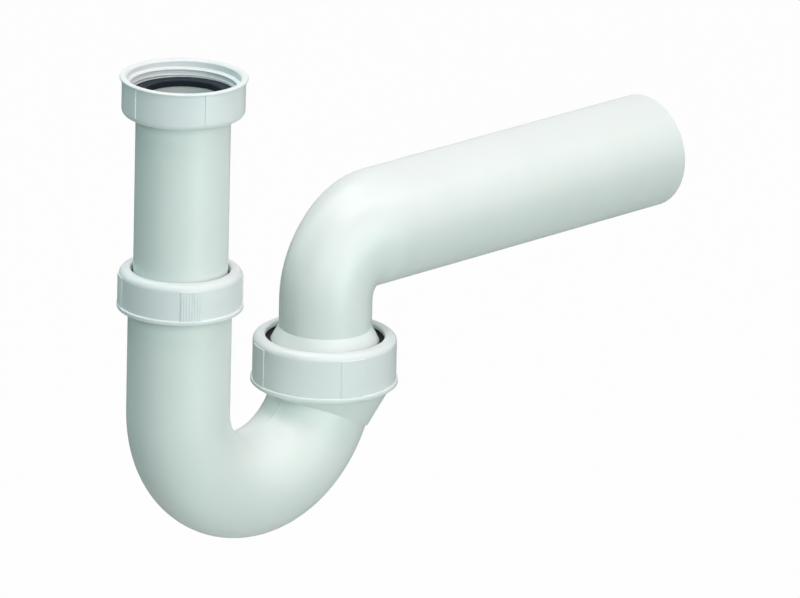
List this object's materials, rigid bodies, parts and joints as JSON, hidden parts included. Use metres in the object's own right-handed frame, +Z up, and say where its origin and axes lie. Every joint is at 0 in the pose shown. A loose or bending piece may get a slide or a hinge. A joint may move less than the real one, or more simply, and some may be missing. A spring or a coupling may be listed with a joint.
{
  "type": "tubular trap",
  "caption": "White plastic P-trap for a basin waste: a union-nut inlet tube, a U-bend on a slip joint, and an outlet bend that swells into a plain spigot.",
  "frame": {"origin": "on the inlet axis, in the sealing face of the inlet union where the basin waste seats", "axes": "+Z up along the inlet axis, out of the union nut's mouth; +X along the outlet pipe, towards its open end"},
  "size_m": [0.3093, 0.0636, 0.213],
  "materials": {
    "white_polypropylene": "semi-gloss injection moulding",
    "black_polyethylene": "matt moulding",
    "black_rubber": "matt moulded rubber"
  },
  "bodies": {
    "inlet_tube": {"inlet_tube": "white_polypropylene", "inlet_flat_seal": "black_rubber"},
    "inlet_union_nut": {"inlet_union_nut": "white_polypropylene"},
    "slip_seal": {"inlet_slip_ring": "black_polyethylene", "inlet_cone_seal": "black_rubber"},
    "trap_bend": {"trap_bend": "white_polypropylene", "outlet_seal": "black_rubber"},
    "inlet_slip_nut": {"inlet_slip_nut": "white_polypropylene"},
    "outlet_union_nut": {"outlet_union_nut": "white_polypropylene"},
    "outlet_bend": {"outlet_bend": "white_polypropylene", "outlet_slip_ring": "black_polyethylene"}
  },
  "joints": [
    {"name": "union_nut_spin", "type": "hinge", "parent": "inlet_tube", "child": "inlet_union_nut", "pos_m": [0, 0, 0], "axis": [0, 0, 1], "continuous": true},
    {"name": "height_slide", "type": "slide", "parent": "inlet_tube", "child": "slip_seal", "axis": [0, 0, 1], "range_m": [-0.024, 0.02]},
    {"name": "trap_swivel", "type": "hinge", "parent": "slip_seal", "child": "trap_bend", "pos_m": [0, 0, -0.085], "axis": [0, 0, 1], "continuous": true},
    {"name": "slip_nut_spin", "type": "hinge", "parent": "trap_bend", "child": "inlet_slip_nut", "pos_m": [0, 0, -0.085], "axis": [0, 0, 1], "continuous": true},
    {"name": "outlet_nut_spin", "type": "hinge", "parent": "trap_bend", "child": "outlet_union_nut", "pos_m": [0.0864, 0, -0.136], "axis": [0, 0, 1], "continuous": true},
    {"name": "outlet_swivel", "type": "hinge", "parent": "trap_bend", "child": "outlet_bend", "pos_m": [0.0864, 0, -0.136], "axis": [0, 0, 1], "range_deg": [-135, 135]}
  ]
}
